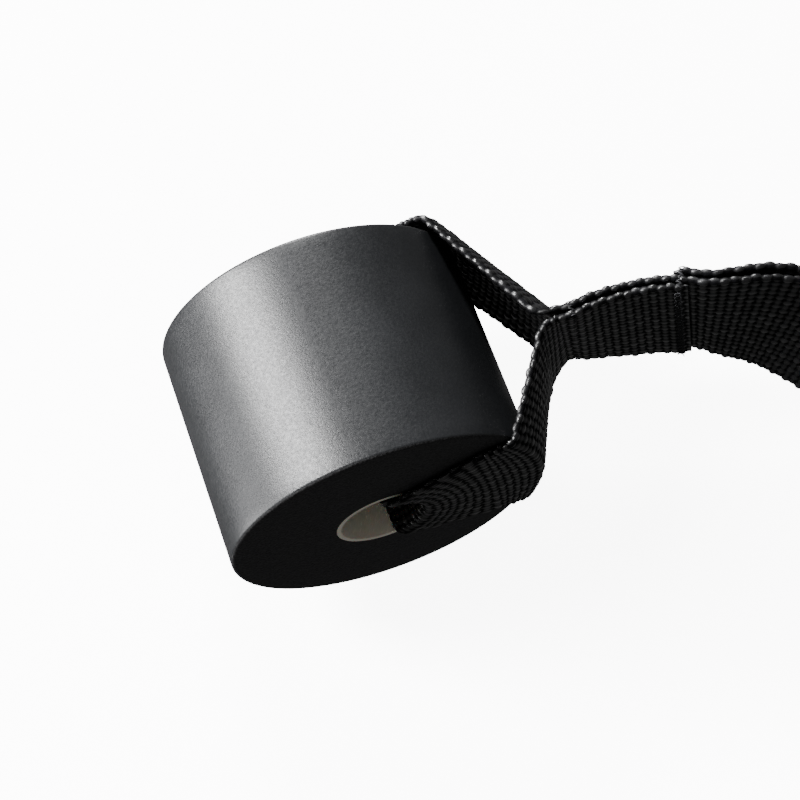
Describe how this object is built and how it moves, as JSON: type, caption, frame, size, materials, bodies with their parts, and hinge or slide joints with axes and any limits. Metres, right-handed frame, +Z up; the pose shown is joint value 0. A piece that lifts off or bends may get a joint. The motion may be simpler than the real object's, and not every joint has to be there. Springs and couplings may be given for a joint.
{
  "type": "shoulder pulley door anchor",
  "caption": "Door anchor of a shoulder pulley: a black foam roll on a plastic core tube, held by a flat webbing strap that passes through the tube and ends in a sewn loop.",
  "frame": {"origin": "centre of the foam roll, on its axis", "axes": "+Y along the roll's axis, +X from the roll towards the strap's end loop, +Z up; the part lies on z = -25 mm"},
  "size_m": [0.27, 0.0624, 0.05],
  "materials": {
    "foam": "satin closed-cell foam skin, matte cut ends",
    "tube": "matte ivory, slightly translucent",
    "webbing": "woven multifilament, satin sheen",
    "thread": "bonded sewing thread, satin"
  },
  "bodies": {
    "yoke": {"bore_web": "webbing", "near_face_web": "webbing", "near_rim_web": "webbing", "near_leg_web": "webbing", "near_turn_web": "webbing", "near_lap_web": "webbing", "far_face_web": "webbing", "far_rim_web": "webbing", "far_leg_web": "webbing", "far_turn_web": "webbing", "far_lap_web": "webbing", "junction_tack": "thread"},
    "roller": {"foam_roll": "foam", "core_tube": "tube"},
    "tail": {"lap_front_web": "webbing", "lap_back_web": "webbing", "end_tack": "thread", "tail_front_web": "webbing", "tail_back_web": "webbing"},
    "loop": {"loop_top_web": "webbing", "loop_end_web": "webbing", "loop_bottom_web": "webbing"}
  },
  "joints": [
    {"name": "roller_spin", "type": "hinge", "parent": "yoke", "child": "roller", "pos_m": [0, 0, 0], "axis": [0, 1, 0], "continuous": true},
    {"name": "tail_swing", "type": "hinge", "parent": "yoke", "child": "tail", "pos_m": [0.042, -0.0021, 0], "axis": [0, 0, 1], "range_deg": [-45, 45]},
    {"name": "loop_lift", "type": "hinge", "parent": "tail", "child": "loop", "pos_m": [0.118, -0.028, -0.02215], "axis": [0, -1, 0], "range_deg": [0, 90]}
  ]
}
